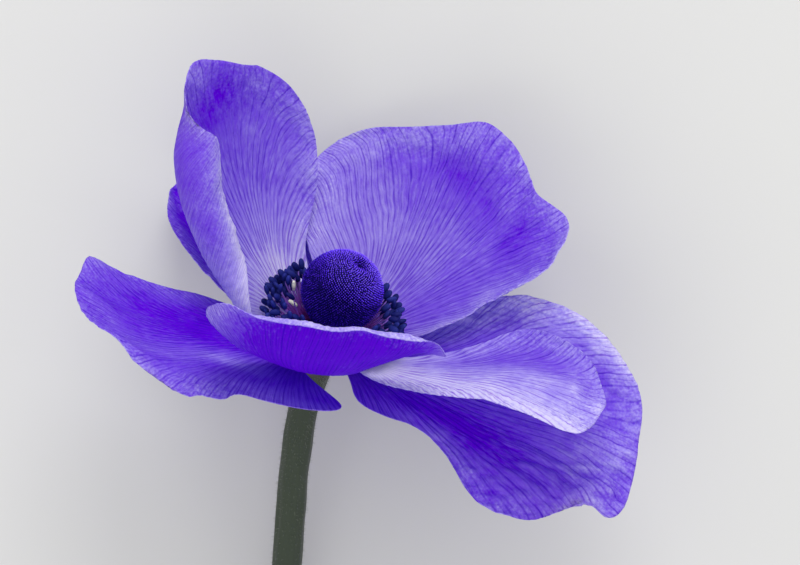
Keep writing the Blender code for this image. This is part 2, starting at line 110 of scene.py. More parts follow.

# Each petal's rows are midrib radius, height and sideways shift, twist in degrees, then half
# width and edge bend in degrees on the anticlockwise side and on the clockwise side.
# "power" says how late that bend comes on the two sides, "fan" how far the sides lag behind
# the midrib, and "waves" the waves' height, number and phase. "rim" is how far the rim
# reaches, from the clockwise corner to the other, and "edges" the extra half width from claw
# to rim, anticlockwise side first. "roll" is where along the petal the rim starts to roll
# outwards, and by how many degrees. "cells" are the mesh's cells across and along.
# "fanning" says how strongly the veins bend outwards, "crinkle" is the height of the puckers,
# and "pale" how pale each place is at the claw, in the middle, at the anticlockwise margin,
# at the clockwise margin, at the rim, and on the outer face: partly the tissue's own tints and
# partly painted light and shade, paler where a petal faces the light and deep violet where it
# lies in shade. "outer_veins" is how dark the veins are on the outer face. "inner_marks" and
# "outer_marks" are soft marks on the two faces: across, along, reach across, reach along, how
# much paler. They too are partly tints and partly painted highlights and painted shade.
# "smooth_marks" say the same for where the veins fade. "wrinkles" are local ridges: across,
# along, reach across, reach along, height, wavelength and turn in degrees, 0 being across.
PETALS = {
    "petal_back_left_inner": {
        "azimuth": 140,
        "power": (3.2, 2),
        "waves": (0.5, 2, 0.3),
        "rim": (-4.4, -3.2, -1.9, -0.7, 0, 1.2, 2.4, 4, 6.5),
        "rows": (
            INNER_CLAW,
            (6.6, 1.7, 0, 0, 6.8, 25, 3.2, 11),
            (10, 2.6, 0, 0, 12, 60, 5, 20),
            (14, 4.4, 0, 0, 16.6, 130, 6.2, 26),
            (18, 7, 0, 0, 20.5, 195, 7.5, 30),
            (21.7, 10.3, 0, 0, 23.5, 216, 9.8, 36),
            (25, 14, 0, 0, 25.4, 220, 12, 40),
            (27.8, 18.2, 0, 0, 26.8, 222, 13.1, 41),
            (30, 22.5, 0, 0, 26.3, 214, 13.5, 40),
            (31.4, 26.5, 0, 0, 16, 60, 12.9, 36),
            (32.5, 30.5, 0, 0, 14.5, 0, 12, 30),
        ),
        "cells": (300, 100),
        "fanning": 2.4,
        "smooth_marks": ((0.22, 0.84, 0.2, 0.13, 0.8),),
        "wrinkles": ((0.85, 0.3, 0.3, 0.22, 0.11, 1.3, 10),),
        "crinkle": 0.07,
        # Painted light: the pale claw and the first inner mark are a painted highlight by the claw, and the
        # flap's paler outer marks paint a highlight on its free edge and low part
        "pale": (1, 0.44, 0.55, 0.6, 0.42, 0.56),
        "inner_marks": ((-0.3, 0.3, 0.6, 0.2, 0.35), (0.25, 0.86, 0.2, 0.12, -0.3)),
        "outer_marks": (
            (0.86, 0.55, 0.12, 0.15, -0.3),
            (1, 0.5, 0.08, 0.4, 0.25),
            (0.75, 0.2, 0.3, 0.2, 0.35),
            (0.85, 0.8, 0.3, 0.15, -0.3),
        ),
    },
    "petal_back_left_outer": {
        "azimuth": 133,
        "power": (2, 2),
        "waves": (0.4, 3, 0),
        "rim": (-3, -1, 0, -1, -3),
        "rows": (
            OUTER_CLAW,
            (11, -0.2, 0, 0, 5.5, 5, 4.5, 0),
            (19, 0.4, 0, 0, 8.5, 10, 9, 5),
            (27, 1.2, 0, 0, 9.5, 15, 11, 10),
            (34.5, 2.1, 0, 0, 9, 15, 10.5, 10),
            (41, 3.1, 0, 0, 6, 10, 8, 10),
        ),
        "cells": (100, 70),
        "fanning": 1.6,
        "crinkle": 0.06,
        "pale": (0, 0.02, 0.4, 0, 0.25, 0.45),
    },
    "petal_back_outer": {
        "azimuth": 72,
        "power": (1.5, 2),
        "waves": (0.4, 3, 0.5),
        "rim": (-3, -1, 0, -1, -4),
        "rows": (
            OUTER_CLAW,
            (11, 0.8, 0, 5, 7.5, 15, 6, 0),
            (19, 2.2, 0, 11, 14, 10, 12, 0),
            (26, 4, 0, 17, 15, 10, 15, -5),
            (32, 6.5, 0, 22, 14, 15, 16, -10),
            (37, 9.1, 0, 24, 12.5, 20, 13, -10),
        ),
        "cells": (120, 80),
        "fanning": 1.6,
        "crinkle": 0.06,
        "pale": (0.5, 0.35, 0.5, 0.5, 0.5, 0.6),
    },
    "petal_back_right_inner": {
        "azimuth": 58,
        "power": (2, 3),
        "fan": 0.6,
        "waves": (0.6, 3.5, 0.2),
        "rim": (0.8, 1, -0.2, -0.8, 1, 2.7, 2.9, -0.2, -3, -4.5, -6.8),
        "edges": ((0, 0), (0, -1, -2.5, -2.5, -1, 0)),
        "rows": (
            INNER_CLAW,
            (9.5, 2.8, 0, 0, 8, 25, 7.5, 35),
            (16, 7, 0, 0, 16, 40, 14.5, 55),
            (22, 13, 0, 0, 23, 30, 19, 65),
            (27, 20, 0, 0, 26, 20, 22, 65),
            (30.5, 27, 0, 0, 27, 15, 20.5, 45),
        ),
        "cells": (300, 105),
        "fanning": 1.9,
        "crinkle": 0.08,
        "pale": (0.62, 0.55, 0.66, 0.75, 0.6, 0.6),
        "inner_marks": (
            (0.1, 0.82, 0.45, 0.14, -0.3),
            (-0.6, 0.82, 0.3, 0.16, -0.3),
            (-0.5, 0.4, 0.35, 0.22, -0.2),
            (0.6, 0.45, 0.4, 0.25, 0.08),
        ),
    },
    "petal_right_outer": {
        "azimuth": 357,
        "power": (2, 2),
        "waves": (0.6, 3, 0.4),
        "rim": (2, 2.3, 2.3, 1.5, 0.5, -0.4, -1, -2.3, -4),
        "edges": ((0, 0), (0, 0.5, 1, -0.8, -2.8, -3.1, -2.6, -1.6, -0.8, -0.8, -1.4, -5, 1)),
        "rows": (
            OUTER_CLAW,
            (12, 0, 0, 15, 7, -10, 7.5, 0),
            (21, 0.6, 0, 35, 12.5, -10, 11, 0),
            (30, 1.6, 0, 42, 17.5, -5, 15.5, 5),
            (39.5, 1.8, 0, 44, 18, 0, 17, 5),
            (49.5, 1, 0, 44, 14, 0, 13.5, 0),
        ),
        "cells": (270, 150),
        "fanning": 1.6,
        "wrinkles": (
            (-0.45, 0.85, 0.3, 0.25, 0.25, 2.4, 80),
            (0.85, 0.75, 0.25, 0.35, 0.09, 0.9, 85),
        ),
        "crinkle": 0.16,
        # Painted shade and light: the deep claw and middle and the first inner mark are the shade that the
        # petals above cast on it, and the paler anticlockwise margin and the second inner mark are partly a
        # painted highlight
        "pale": (0.15, 0.3, 0.7, 0.42, 0.5, 0.5),
        "inner_marks": (
            (-0.45, 0.45, 0.3, 0.25, -0.25),
            (0.85, 0.85, 0.3, 0.3, 0.15),
            (-0.2, 0.85, 0.3, 0.12, 0.15),
        ),
    },
    "petal_right_inner": {
        "azimuth": 342,
        "power": (3, 2),
        "waves": (0.5, 2, 0),
        "rim": (3, 0.8, 0.4, -0.3, -2),
        "edges": ((0, -1, -1.2, 1, -0.3, -0.5), (0, 0.5, 0, -2.3, -5, -3.5)),
        "rows": (
            INNER_CLAW,
            (12, 3, 0, 0, 5, 20, 4.5, 0),
            (21, 6.5, 0, 0, 10, 40, 6.5, 0),
            (29, 10, 0, 0, 13.5, 50, 8.5, -10),
            (37, 12, 0, 0, 13.5, 50, 12.5, -15),
            (44, 12, 0, 0, 10, 40, 11, -15),
        ),
        "cells": (200, 130),
        "fanning": 2.3,
        "wrinkles": (
            (-0.8, 0.45, 0.3, 0.35, 0.09, 1.1, 25),
            (-0.9, 0.8, 0.25, 0.2, 0.07, 1.2, 10),
        ),
        "crinkle": 0.08,
        # Painted light and shade: the pale claw and clockwise margin and the second inner mark are the front
        # band that faces the light, and the first inner mark paints the rising back band deep violet as its
        # shade
        "pale": (0.95, 0.7, 0.6, 1, 0.75, 0.5),
        "inner_marks": ((0.6, 0.6, 0.25, 0.35, -0.32), (-0.5, 0.45, 0.5, 0.4, 0.28)),
    },
    "petal_left_outer": {
        "azimuth": 205,
        "power": (2, 2),
        "waves": (0.6, 3, 0.7),
        "rim": (-1.4, -1.6, -1.2, 0.1, 1.1, 0.9, 0.3, -0.9, -1),
        "edges": (
            (0, -3, 0.6, 1, -2.2, -1.8, -1.4, 0.9, -0.8, 3),
            (0, 0, -1.2, -1.4, 0.7, 2.2),
        ),
        "rows": (
            OUTER_CLAW,
            (11, 0, 0, 0, 15, 5, 6.5, 20),
            (19, -0.2, 0, 0, 15, -5, 11, 25),
            (26, -0.4, -1.5, 0, 18, -5, 12, 25),
            (31.5, -0.5, -4.5, 0, 17, -5, 11, 20),
            (36.5, 0, -9, 0, 15, 0, 11, 10),
        ),
        "cells": (230, 100),
        "fanning": 1.6,
        "crinkle": 0.06,
        # Painted light and shade: the deep claw is the shade under the front petal, and the first two inner
        # marks paint a highlight along a crease
        "pale": (0.1, 0.2, 0.45, 0.38, 0.4, 0.5),
        "inner_marks": (
            (0.35, 0.65, 0.18, 0.3, 0.2),
            (0.33, 0.36, 0.16, 0.12, 0.3),
            (-0.3, 0.4, 0.5, 0.25, -0.15),
            (0.8, 0.7, 0.25, 0.3, 0.1),
        ),
    },
    "petal_front_inner": {
        "azimuth": 275,
        "power": (1, 1.5),
        "waves": (0.4, 3, 0),
        "rim": (4.9, 1.7, 0.2, 0.3, 0, 0.2, 1.8, 2.4, 1.9),
        "rows": (
            INNER_CLAW,
            (10.5, 2.6, 0, 6, 7, 25, 7.5, 20),
            (17, 6.2, 0, 10, 12.5, 55, 14.5, 45),
            (22, 11, 0, 12, 16.5, 40, 19.5, 52),
            (25.5, 16.2, 0, 12, 18, 18, 21.5, 52),
            (27.5, 21.5, 0, 12, 17.5, 0, 20.5, 42),
        ),
        "roll": (0.915, 100),
        "cells": (220, 105),
        "fanning": 1.1,
        "outer_veins": 1,
        "crinkle": 0.03,
        # Painted shade: the outer face is painted deep violet for the shade it lies in, facing away from the
        # light
        "pale": (0.5, 0.5, 0.5, 0.5, 0.75, 0.02),
        "outer_marks": (
            (-0.95, 0.85, 0.3, 0.4, 0.4),
            (0.85, 0.8, 0.25, 0.3, 0.08),
            (0.5, 0.95, 0.4, 0.08, 0.15),
            (1, 0.9, 0.12, 0.3, 0.35),
        ),
    },
}

# A rolled rim: where across the petal it eases off, its least angle, and the lead before it
ROLL_CORNERS = (0.5, 0.95)
LEAST_ROLL = 2.0
ROLL_LEAD = 0.4

# Pistil head
HEAD_RADIUS = 5.95
HEAD_CENTRE_HEIGHT = 10.9
HEAD_NECK = 2.5
STYLES = 3800
STYLE_COVER = 1.86
STYLE_LENGTH = 0.36
STYLE_ROOT = 0.12
STYLE_RADIUS = 0.12
STYLE_SIDES = 5
DIMPLE = np.array((0.239, -0.129, 0.962))
DIMPLE_DEPTH = 0.9
DIMPLE_ANGLE = 0.17

# Stamens: each tier's count, radius and height. Those within reach of the front azimuth, in
# degrees, stand lower and further in
COLLAR_HEIGHT = 2.85
COLLAR_RADIUS = 3.1
COLLAR_THICKNESS = 0.75
COLLAR_STEPS = 72
COLLAR_SIDES = 14
STAMEN_TIERS = (
    (38, 9.6, 4.8),
    (42, 10.1, 6.0),
    (42, 9.8, 7.2),
    (38, 9.1, 8.4),
    (32, 8.0, 9.5),
    (34, 8.7, 5.6),
    (30, 8.2, 7.0),
    (26, 7.3, 8.3),
)
ANTHER_LENGTH = 1.7
ANTHER_RADIUS = 0.52
ANTHER_RINGS = 7
ANTHER_SIDES = 10
FILAMENT_RADIUS = 0.11
FILAMENT_RINGS = 9
FILAMENT_SIDES = 6
FRONT_AZIMUTH = 275.0
FRONT_REACH = (30.0, 75.0)
FRONT_BASE = 3.5
FRONT_DROP = 0.7
FRONT_INSET = 1.6
PALE_STAMENS = ((180.0, 6.9, 8.4), (192.0, 5.9, 6.6))
HIDING_WIDTH = 0.95
HIDING_DEPTH = 1.0

# Stem
RECEPTACLE_RADIUS = 3.3
STEM_RADIUS = 2.3
STEM_TOP = ((1.95, RECEPTACLE_RADIUS), (0.4, RECEPTACLE_RADIUS), (-1.6, 2.6), (-4.5, STEM_RADIUS))
STEM_ROUTE = (
    (-2.6, -7.6, -4.6),
    (-4.1, -17.0, -10.2),
    (-5.2, -30.0, -16.4),
    (-6.4, -46.0, -21.4),
    (-7.4, -62.0, -24.0),
    (-8.0, -77.0, -24.3),
)
STEM_RIBS = 11.0
RIB_DEPTH = 0.05
SKIN_INSET = 0.07
FLUSH_LENGTH = 9.0
BARE_LENGTH = 4.0
STEM_HAIRS = 2600
STEM_HAIR_LENGTH = 0.75
STEM_HAIR_RADIUS = 0.03

# The stem's cut face. A bundle's ring and width are shares of the radius
CUT_RADIUS = 2.02
CUT_STEP = 0.04
CUT_DEPTH = 0.16
CUT_SIDES = 112
CUT_RINGS = (0.1, 0.2, 0.3, 0.4, 0.5, 0.6, 0.66, 0.72, 0.78, 0.84, 0.9, 1.0)
BUNDLES = 14.0
BUNDLE_RING = 0.78
BUNDLE_WIDTH = 0.08
PITH_TIP = 0.3

# Floor and light: each lamp's name, direction, distance, size and power
FLOOR_COLOUR = (0.58, 0.58, 0.57, 1.0)
WORLD_STRENGTH = 0.92
LAMP_AIM = Vector((0.005, 0.02, 0.03))
LAMPS = (
    ("key", (0.10, 0.80, 0.60), 0.9, 0.5, 4.4),
    ("fill", (-0.20, -0.60, 0.75), 0.9, 0.7, 2.0),
)

UPWARD = np.array((0.0, 0.0, 1.0))


def flower_directions():
    """Return the flower's right, back and axis in the world, one a row."""
    rise_sin, rise_cos = math.sin(AXIS_RISE), math.cos(AXIS_RISE)
    lean_sin, lean_cos = math.sin(AXIS_LEAN), math.cos(AXIS_LEAN)
    return np.array((
        (lean_cos, -lean_sin, 0.0),
        (rise_sin * lean_sin, rise_sin * lean_cos, -rise_cos),
        (rise_cos * lean_sin, rise_cos * lean_cos, rise_sin),
    ))


TO_WORLD = flower_directions()


def placed(points):
    """Move points from the flower's own directions to the world, in millimetres."""
    return np.asarray(points) @ TO_WORLD + RECEPTACLE_PLACE


def normalised(vectors):
    """Return vectors made one long."""
    return vectors / np.linalg.norm(vectors, axis=-1, keepdims=True)


def curve_through(values, place):
    """Return a smooth curve through evenly spaced values, at places from 0 to 1."""
    last = len(values) - 1
    padded = np.pad(np.asarray(values, dtype=float), 1, mode="reflect", reflect_type="odd")
    along = np.clip(place, 0.0, 1.0) * last
    step = np.minimum(along.astype(int), last - 1)
    part = along - step
    p0, p1, p2, p3 = (padded[step + k] for k in range(4))
    bend = 2.0 * p0 - 5.0 * p1 + 4.0 * p2 - p3
    cubic = 3.0 * (p1 - p2) + p3 - p0
    return p1 + 0.5 * part * (p2 - p0 + part * (bend + part * cubic))


def section(across, bend, power):
    """Return how far a sheet that bends towards its edge goes sideways and inwards."""
    samples = (np.arange(BEND_SAMPLES) + 0.5) / BEND_SAMPLES
    angle = bend[:, None] * (across[:, None] * samples) ** power[:, None]
    return across * np.cos(angle).mean(axis=1), across * np.sin(angle).mean(axis=1)


def half_width(petal, along, across):
    """Return the petal's half width on the side that each point lies on."""
    rows = np.array(petal["rows"])
    edges = petal.get("edges", ((0, 0), (0, 0)))
    widths = [curve_through(rows[:, column], along) + curve_through(edge, along)
              for column, edge in zip((4, 6), edges)]
    return np.where(across > 0.0, *widths)


def petal_points(petal, along, across):
    """Return the sheet's points in the flower's directions; along runs 0 to 1, across -1 to 1."""
    rows = np.array(petal["rows"])
    azimuth = math.radians(petal["azimuth"])
    outward = np.array((math.cos(azimuth), math.sin(azimuth), 0.0))
    sideways = np.array((-math.sin(azimuth), math.cos(azimuth), 0.0))

    columns = [curve_through(column, along) for column in rows.T]
    radius, height, shift = (column[:, None] for column in columns[:3])
    twist = np.radians(columns[3])[:, None]
    bend = np.where(across > 0.0, columns[5], columns[7])
    power = np.where(across > 0.0, *petal["power"])
    width = half_width(petal, along, across)

    run, climb = (curve_through(column, along + SLOPE_STEP) - curve_through(column, along - SLOPE_STEP)
                  for column in rows.T[:2])
    slope = np.hypot(run, climb)
    run, climb = (run / slope)[:, None], (climb / slope)[:, None]
    forward = run * outward + climb * UPWARD
    inward = run * UPWARD - climb * outward
    turned = np.cos(twist) * sideways + np.sin(twist) * inward
    inward = np.cos(twist) * inward - np.sin(twist) * sideways

    out, lift = section(np.abs(across), np.radians(bend), power)
    spread = np.sign(across) * width * out
    reach = np.hypot(columns[0] - rows[0, 0], columns[1] - rows[0, 1])
    lag = petal.get("fan", 1.0) * spread ** 2 / (2.0 * (reach + FAN_ROOT))
    rim = curve_through(petal["rim"], (across + 1.0) / 2.0) * along ** RIM_POWER

    midrib = radius * outward + height * UPWARD + shift * sideways
    wave_height, count, phase = petal["waves"]
    wave = wave_height * along ** 2 * np.sin(math.pi * (count * across + phase))
    points = midrib + spread[:, None] * turned + (width * lift + wave)[:, None] * inward
    return points + (rim - lag)[:, None] * forward


def eased(value, low, high):
    """Return 0 below low and 1 above high, with a smooth step between."""
    place = np.clip((value - low) / (high - low), 0.0, 1.0)
    return place * place * (3.0 - 2.0 * place)


def near_margin(across, along, side, rim, low, high):
    """Return 1 at a petal's margin, and 0 within it and at the claw."""
    edge = np.maximum(eased(np.abs(across), side, 1.0), eased(along, rim, 1.0))
    return edge * eased(along, low, high)


def ripples(x, y, wavelength, seed):
    """Return a smooth random relief of about one wavelength, from -1 to 1."""
    chance = np.random.default_rng(seed)
    total = np.zeros_like(x)
    for _ in range(RIPPLE_WAVES):
        turn = chance.uniform(0.0, 2.0 * math.pi)
        pitch = 2.0 * math.pi / (wavelength * chance.uniform(0.7, 1.5))
        phase = chance.uniform(0.0, 2.0 * math.pi)
        total += np.sin(pitch * (x * math.cos(turn) + y * math.sin(turn)) + phase)
    return total / math.sqrt(RIPPLE_WAVES)


def mark_strength(mark, across, along):
    """Return how strong a soft mark is, from 1 in its middle to 0 well outside."""
    return np.exp(-((across - mark[0]) / mark[2]) ** 2 - ((along - mark[1]) / mark[3]) ** 2)


def paleness(petal, across, along, marks):
    """Return how much paler the soft marks make each place on a petal."""
    total = np.zeros_like(across)
    for *mark, amount in petal.get(marks, ()):
        total += amount * mark_strength(mark, across, along)
    return total


def rolled(sheet, shape, across, along, roll):
    """Roll the rim outwards beyond a place along the petal, least near the petal's corners."""
    start, angle = roll
    grid = sheet.reshape(*shape, 3)
    forward = np.gradient(grid, axis=0)
    steps = np.linalg.norm(forward, axis=2)
    forward = forward / steps[:, :, None]
    first = int(start * (shape[0] - 1))
    normal = sheet_normal(sheet, shape).reshape(*shape, 3)[first]
    part = 1.0 - eased(np.abs(across.reshape(shape)[first]), *ROLL_CORNERS)
    most = np.radians(np.maximum(angle * part, LEAST_ROLL))
    length = steps[first:].sum(axis=0)
    radius = length / most
    distance = np.zeros(shape)
    distance[first:] = np.cumsum(steps[first:], axis=0) - steps[first]
    turn = distance / radius
    lift = length - radius * np.sin(np.minimum(most, 0.5 * math.pi))
    curled = ((lift + radius * np.sin(turn))[:, :, None] * forward[first]
              - (radius * (1.0 - np.cos(turn)))[:, :, None] * normal)
    raised = lift[None, :] * eased(along.reshape(shape), start - ROLL_LEAD, start)
    moved = grid + raised[:, :, None] * forward
    moved[first:] = grid[first] + curled[first:]
    return moved.reshape(-1, 3)


def write_mesh(name, points, faces, material, values, uv_maps=None):
    """Make a smooth mesh object from points in millimetres, with its values and UV maps."""
    mesh = bpy.data.meshes.new(name)
    mesh.from_pydata((np.asarray(points) * MM).tolist(), [], [tuple(face) for face in faces])
    mesh.validate()
    mesh.polygons.foreach_set("use_smooth", [True] * len(mesh.polygons))
    for label, numbers in values.items():
        layer = mesh.attributes.new(label, "FLOAT", "POINT")
        layer.data.foreach_set("value", np.asarray(numbers, dtype=np.float32))
    for label, places in (uv_maps or {}).items():
        layer = mesh.uv_layers.new(name=label)
        layer.data.foreach_set("uv", np.asarray(places, dtype=np.float32).ravel())
    mesh.materials.append(material)
    thing = bpy.data.objects.new(name, mesh)
    bpy.context.scene.collection.objects.link(thing)
    return thing


def petal_relief(petal, seed, across, along, sheet_x, sheet_y, place):
    """Return the height of the sunken veins, the pleats between them, puckers and wrinkles."""
    margin = near_margin(across, along, 0.55, 0.6, 0.2, 0.5)
    nearest = np.abs(place - np.round(place))
    shown = eased(along, 0.05, 0.3)
    uneven = 0.6 + 0.4 * np.clip(ripples(sheet_x, sheet_y, PATCH_LENGTH, seed + 8), -1.0, 1.0)
    relief = -VEIN_DEPTH * shown * uneven * np.exp(-((nearest / VEIN_WIDTH) ** 2))
    relief -= PLEAT_DEPTH * shown * (1.0 - 0.5 * margin) * np.cos(4.0 * math.pi * place)
    crinkle = petal["crinkle"] * (0.12 + 0.88 * margin)
    relief += crinkle * ripples(sheet_x, 0.45 * sheet_y, PUCKER_LENGTH, seed + 2)
    relief += NET_DEPTH * margin * ripples(sheet_x, 0.7 * sheet_y, NET_LENGTH, seed + 3)
    for *mark, height, wavelength, turn in petal.get("wrinkles", ()):
        turn = math.radians(turn)
        pitch = 2.0 * math.pi / wavelength
        phase = pitch * (sheet_y * math.cos(turn) + sheet_x * math.sin(turn))
        phase += 1.2 * ripples(sheet_x, sheet_y, 5.0, seed + 7)
        relief += height * mark_strength(mark, across, along) * np.sin(phase)
    return relief + SWELL_DEPTH * margin * ripples(sheet_x, sheet_y, SWELL_LENGTH, seed + 4)


def petal_paleness(petal, seed, across, along, sheet_x, sheet_y):
    """Return how pale each place is on a petal's inner face and on its outer face, as tissue tints and
    painted light and shade together.
    """
    claw, middle, anticlockwise, clockwise, rim, outer = petal["pale"]
    inner = middle + (claw - middle) * np.exp(-((along / 0.3) ** 2))
    for side, margin in ((across, anticlockwise), (-across, clockwise)):
        inner += (margin - middle) * eased(side, 0.55, 1.0) * eased(along, 0.1, 0.4)
    inner += (rim - middle) * eased(along, 0.75, 1.0)
    outside = outer + 0.25 * near_margin(across, along, 0.7, 0.85, 0.2, 0.5)
    for face, marks, chance_seed in ((inner, "inner_marks", seed + 5), (outside, "outer_marks", seed + 6)):
        face += paleness(petal, across, along, marks)
        face += PATCH_PALENESS * ripples(sheet_x, sheet_y, PATCH_LENGTH, chance_seed)
    return inner, outside


def make_petal(name, petal, seed, material):
    """Build one fine petal: its sheet with relief, two faces and a thin closed margin."""
    spans = [np.linspace(-1.0, 1.0, cells + 1) for cells in petal["cells"]]
    x, y = (grid.ravel() for grid in np.meshgrid(*spans))
    across = x * (1.0 - CORNER_ROUNDING * ((y + 1.0) / 2.0) ** 8)
    along = (y + 1.0) / 2.0 * (1.0 - CORNER_ROUNDING * x ** 8)
    shape = (len(spans[1]), len(spans[0]))

    sheet = petal_points(petal, along, across)
    if "roll" in petal:
        sheet = rolled(sheet, shape, across, along, petal["roll"])
    rows = np.array(petal["rows"])
    sheet_x = across * half_width(petal, along, across)
    sheet_y = along * np.hypot(np.diff(rows[:, 0]), np.diff(rows[:, 1])).sum()

    gauge = (VEIN_RANGE / (sheet_y + VEIN_ORIGIN)) ** petal["fanning"] / VEIN_GAP
    wander = 0.18 * ripples(sheet_x, 0.5 * sheet_y, 14.0, seed)
    wander += 0.02 * ripples(sheet_x, 0.7 * sheet_y, 4.0, seed + 1)
    place = FIRST_VEIN + gauge * sheet_x + wander * eased(along, 0.05, 0.5)
    relief = petal_relief(petal, seed, across, along, sheet_x, sheet_y, place)
    sheet = sheet + relief[:, None] * sheet_normal(sheet, shape)

    edge = eased(np.maximum(np.abs(x), y), 0.3, 0.97)
    thickness = MIDDLE_THICKNESS + (MARGIN_THICKNESS - MIDDLE_THICKNESS) * edge
    half = 0.5 * thickness[:, None] * sheet_normal(sheet, shape)
    points = placed(np.concatenate((sheet + half, sheet - half)))
    points[:, 2] = np.maximum(points[:, 2], FLOOR_GAP)

    inner, outside = petal_paleness(petal, seed, across, along, sheet_x, sheet_y)
    # Painted light and shade on the relief: each face's crests are made paler and its hollows darker, on the
    # outer face at 0.4 of the strength.
    pale = np.concatenate((inner + RELIEF_PAINTED_LIGHT * relief, outside - 0.4 * RELIEF_PAINTED_LIGHT * relief))
    veined = 1.0 - paleness(petal, across, along, "smooth_marks")
    if "roll" in petal:
        start = petal["roll"][0]
        veined *= 1.0 - eased(along, start, start + 0.03)
    veined_outside = np.full_like(along, petal.get("outer_veins", OUTER_VEINS))
    values = {
        "pale": np.clip(pale, 0.0, 1.0),
        "gauge": np.tile(gauge, 2),
        "veined": np.concatenate((veined, veined_outside)),
        "mottled": np.tile(near_margin(across, along, 0.6, 0.7, 0.3, 0.6), 2),
    }
    faces, corner_maps = petal_faces(shape, place, along)
    return write_mesh(name, points, faces, material, values, corner_maps)


def sheet_normal(points, shape):
    """Return the sheet's unit normals on its inner face."""
    grid = points.reshape(*shape, 3)
    normal = np.cross(np.gradient(grid, axis=0), np.gradient(grid, axis=1))
    return normalised(normal.reshape(-1, 3))


def petal_faces(shape, place, along):
    """Return the faces of a petal's two sides and margin, and their corners' UV maps."""
    rows, columns = shape
    offset = rows * columns
    index = np.arange(offset).reshape(shape)
    front = (index[:-1, :-1], index[1:, :-1], index[1:, 1:], index[:-1, 1:])
    front = np.stack(front, axis=-1).reshape(-1, 4)
    back = front[:, ::-1] + offset
    loop = np.concatenate((index[:-1, 0], index[-1, :-1], index[:0:-1, -1], index[0, :0:-1]))
    ahead = np.roll(loop, -1)
    margin = np.stack((ahead, loop, loop + offset, ahead + offset), axis=-1)
    faces = np.concatenate((front, back, margin))

    corners = faces.ravel() % offset
    veins = np.stack((place[corners], along[corners]), axis=-1)
    side = np.repeat((0, 1, 2), (front.size, back.size, margin.size))
    bake_x = 0.005 + 0.485 * ((corners % columns) / (columns - 1)) + 0.505 * (side == 1)
    bake_y = 0.03 + 0.965 * ((corners // columns) / (rows - 1))
    step = np.arange(len(loop)) / len(loop)
    after = step + 1.0 / len(loop)
    bake_x[side == 2] = 0.005 + 0.99 * np.stack((after, step, step, after), axis=-1).ravel()
    bake_y[side == 2] = np.tile((0.004, 0.004, 0.018, 0.018), len(loop))
    return faces, {"veins": veins, "OFBake": np.stack((bake_x, bake_y), axis=-1)}


def add_node(tree, kind, inputs, **settings):
    """Add a shader node with its settings, and link or set its inputs."""
    node = tree.nodes.new("ShaderNode" + kind)
    for name, value in settings.items():
        setattr(node, name, value)
    for name, value in inputs.items():
        if isinstance(value, bpy.types.NodeSocket):
            tree.links.new(value, node.inputs[name])
        else:
            node.inputs[name].default_value = value
    return node


def math_node(tree, operation, *values):
    """Add a Math node."""
    return add_node(tree, "Math", dict(enumerate(values)), operation=operation).outputs[0]


def times(tree, product, *factors):
    """Multiply values one after the other."""
    for factor in factors:
        product = math_node(tree, "MULTIPLY", product, factor)
    return product


def varied(tree, value, texture, amount):
    """Shift a value by a texture that runs around a half."""
    return math_node(tree, "MULTIPLY_ADD", math_node(tree, "SUBTRACT", texture, 0.5), amount, value)


def ranged(tree, value, low, high, low_out=0.0, high_out=1.0):
    """Add a smooth Map Range node."""
    inputs = {"Value": value, "From Min": low, "From Max": high, "To Min": low_out, "To Max": high_out}
    return add_node(tree, "MapRange", inputs, interpolation_type="SMOOTHSTEP").outputs["Result"]


def mixed(tree, factor, first, second, blend="MIX"):
    """Add a colour Mix node."""
    inputs = {0: factor, 6: first, 7: second}
    return add_node(tree, "Mix", inputs, data_type="RGBA", blend_type=blend).outputs[2]


def noise(tree, vector, scale, detail=2.0, roughness=0.5):
    """Add a Noise Texture node."""
    inputs = {"Vector": vector, "Scale": scale, "Detail": detail, "Roughness": roughness}
    return add_node(tree, "TexNoise", inputs).outputs[0]


def attribute(tree, name):
    """Add an Attribute node and return its number."""
    return add_node(tree, "Attribute", {}, attribute_name=name).outputs["Fac"]


def colour_ramp(tree, value, stops):
    """Add a Color Ramp node with its stops."""
    node = add_node(tree, "ValToRGB", {"Fac": value})
    elements = node.color_ramp.elements
    for _ in stops[2:]:
        elements.new(0.5)
    for element, (place, colour) in zip(elements, stops):
        element.position = place
        element.color = (*colour, 1.0)
    return node.outputs["Color"]


def bumped(tree, shader, height, distance, strength=1.0):
    """Give a shader a Bump node."""
    inputs = {"Strength": strength, "Distance": distance, "Height": height}
    normal = add_node(tree, "Bump", inputs).outputs["Normal"]
    tree.links.new(normal, shader.inputs["Normal"])
    return normal


def new_material(name, roughness, specular=0.2):
    """Return a material, its node tree and its Principled shader."""
    material = bpy.data.materials.new(name)
    material.use_nodes = True
    tree = material.node_tree
    shader = tree.nodes["Principled BSDF"]
    shader.inputs["Roughness"].default_value = roughness
    shader.inputs["Specular IOR Level"].default_value = specular
    return material, tree, shader


